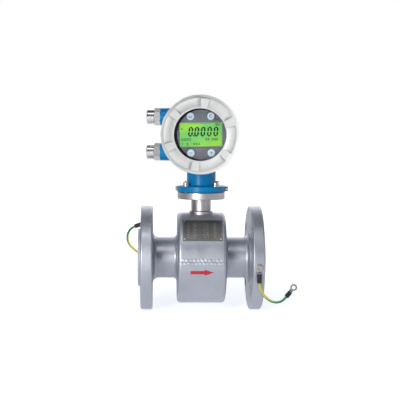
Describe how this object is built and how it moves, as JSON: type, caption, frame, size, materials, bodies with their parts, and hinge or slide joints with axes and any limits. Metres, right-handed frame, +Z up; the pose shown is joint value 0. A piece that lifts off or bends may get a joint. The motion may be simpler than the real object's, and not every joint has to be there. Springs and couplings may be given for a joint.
{
  "type": "electromagnetic flow meter",
  "caption": "Flanged electromagnetic flow meter: a lined pipe section with a coil housing, and a screw-covered display head on a neck.",
  "frame": {"origin": "centre of the meter on the flow axis, midway between the two sealing faces", "axes": "+X along the flow direction, +Z up towards the display head, -Y towards the reader"},
  "size_m": [0.2999, 0.2112, 0.3805],
  "materials": {
    "grey_paint": "silver-grey semi-gloss enamel",
    "liner_polymer": "pale moulded fluoropolymer",
    "stainless": "turned stainless steel",
    "blue_paint": "glossy blue powder coat",
    "cover_paint": "glossy off-white powder coat",
    "window_glass": "clear toughened glass",
    "black_plastic": "matt black moulding",
    "black_rubber": "matt black rubber",
    "nickel": "nickel-plated brass",
    "zinc_screw": "bright stainless screws",
    "display_film": "dark grey printed film",
    "display_lens": "backlit green display",
    "key_cap": "pale blue-white key caps",
    "circuit_board": "green circuit board",
    "potting_case": "dark grey moulded case",
    "terminal_plastic": "green terminal moulding",
    "copper_wire": "enamelled copper winding",
    "magnetic_steel": "soft magnetic steel",
    "electrode_alloy": "corrosion resistant alloy",
    "white_insulator": "white insulating plastic",
    "gasket_fibre": "dark flat gasket",
    "nameplate_metal": "dark grey anodised plate",
    "rivet_metal": "bright rivets",
    "tinned_lug": "tinned copper terminals",
    "heat_shrink": "black shrink sleeve",
    "earth_lead": "green and yellow insulation",
    "cable_jacket": "black cable jacket"
  },
  "bodies": {
    "meter": {"flow_tube": "grey_paint", "liner": "liner_polymer", "outlet_liner_flare": "liner_polymer", "inlet_liner_flare": "liner_polymer", "flange_welds": "grey_paint", "outlet_flange": "grey_paint", "inlet_flange": "grey_paint", "coil_housing": "grey_paint", "neck_tube": "stainless", "neck_flange": "stainless", "neck_gasket": "gasket_fibre", "pole_shoes": "magnetic_steel", "coils": "copper_wire", "magnetic_yoke": "magnetic_steel", "electrodes": "electrode_alloy", "electrode_insulators": "white_insulator", "electrode_nuts": "electrode_alloy", "converter_housing": "blue_paint", "neck_screws": "zinc_screw", "neck_washers": "zinc_screw", "earth_screw": "zinc_screw", "lock_screw": "zinc_screw", "display_plate": "display_film", "lcd_module": "display_lens", "display_board": "circuit_board", "display_standoffs": "nickel", "electronics_module": "potting_case", "signal_cable": "cable_jacket", "terminal_block": "terminal_plastic", "terminal_screws": "zinc_screw", "upper_gland_body": "nickel", "lower_gland_body": "nickel", "nameplate": "nameplate_metal", "nameplate_rivets": "rivet_metal", "bond_screws": "zinc_screw", "bond_washers": "zinc_screw", "outlet_inner_lug": "tinned_lug", "outlet_outer_lug": "tinned_lug", "outlet_inner_sleeve": "heat_shrink", "outlet_outer_sleeve": "heat_shrink", "outlet_lead": "earth_lead", "inlet_inner_lug": "tinned_lug", "inlet_outer_lug": "tinned_lug", "inlet_inner_sleeve": "heat_shrink", "inlet_outer_sleeve": "heat_shrink", "inlet_lead": "earth_lead"},
    "front_o_ring": {"front_o_ring": "black_rubber"},
    "front_cover": {"front_cover": "cover_paint", "window_glass": "window_glass", "window_retainer": "black_plastic"},
    "rear_o_ring": {"rear_o_ring": "black_rubber"},
    "rear_cover": {"rear_cover": "cover_paint"},
    "upper_gland_seal": {"upper_gland_seal": "black_rubber"},
    "upper_gland_cap": {"upper_gland_cap": "nickel"},
    "lower_gland_seal": {"lower_gland_seal": "black_rubber"},
    "lower_gland_cap": {"lower_gland_cap": "nickel"},
    "key_upper_left": {"key_upper_left": "key_cap"},
    "key_upper_right": {"key_upper_right": "key_cap"},
    "key_lower_left": {"key_lower_left": "key_cap"},
    "key_lower_right": {"key_lower_right": "key_cap"}
  },
  "joints": [
    {"name": "front_cover_slide", "type": "slide", "parent": "meter", "child": "front_o_ring", "axis": [-0.075, -0.9972, 0], "range_m": [0, 0.01002]},
    {"name": "front_cover_spin", "type": "hinge", "parent": "front_o_ring", "child": "front_cover", "pos_m": [0, 0, 0.22], "axis": [-0.075, -0.9972, 0], "range_deg": [0, 1800]},
    {"name": "rear_cover_slide", "type": "slide", "parent": "meter", "child": "rear_o_ring", "axis": [0.075, 0.9972, 0], "range_m": [0, 0.01002]},
    {"name": "rear_cover_spin", "type": "hinge", "parent": "rear_o_ring", "child": "rear_cover", "pos_m": [0, 0, 0.22], "axis": [0.075, 0.9972, 0], "range_deg": [0, 1800]},
    {"name": "upper_gland_slide", "type": "slide", "parent": "meter", "child": "upper_gland_seal", "axis": [-0.9972, 0.075, 0], "range_m": [0, 0.00302]},
    {"name": "upper_gland_spin", "type": "hinge", "parent": "upper_gland_seal", "child": "upper_gland_cap", "pos_m": [-0.07344, 0.02357, 0.2515], "axis": [-0.9972, 0.075, 0], "range_deg": [0, 720]},
    {"name": "lower_gland_slide", "type": "slide", "parent": "meter", "child": "lower_gland_seal", "axis": [-0.9972, 0.075, 0], "range_m": [0, 0.00302]},
    {"name": "lower_gland_spin", "type": "hinge", "parent": "lower_gland_seal", "child": "lower_gland_cap", "pos_m": [-0.07344, 0.02357, 0.1885], "axis": [-0.9972, 0.075, 0], "range_deg": [0, 720]},
    {"name": "key_upper_left_press", "type": "slide", "parent": "meter", "child": "key_upper_left", "axis": [0.075, 0.9972, 0], "range_m": [0, 0.0008], "stiffness_N_per_m": 500, "springref_m": -0.0004},
    {"name": "key_upper_right_press", "type": "slide", "parent": "meter", "child": "key_upper_right", "axis": [0.075, 0.9972, 0], "range_m": [0, 0.0008], "stiffness_N_per_m": 500, "springref_m": -0.0004},
    {"name": "key_lower_left_press", "type": "slide", "parent": "meter", "child": "key_lower_left", "axis": [0.075, 0.9972, 0], "range_m": [0, 0.0008], "stiffness_N_per_m": 500, "springref_m": -0.0004},
    {"name": "key_lower_right_press", "type": "slide", "parent": "meter", "child": "key_lower_right", "axis": [0.075, 0.9972, 0], "range_m": [0, 0.0008], "stiffness_N_per_m": 500, "springref_m": -0.0004}
  ],
  "couplings": [
    {"joint": "front_cover_slide", "follows": "front_cover_spin", "m_per_rad": 0.00031831},
    {"joint": "rear_cover_slide", "follows": "rear_cover_spin", "m_per_rad": 0.00031831},
    {"joint": "upper_gland_slide", "follows": "upper_gland_spin", "m_per_rad": 0.00023873},
    {"joint": "lower_gland_slide", "follows": "lower_gland_spin", "m_per_rad": 0.00023873}
  ]
}
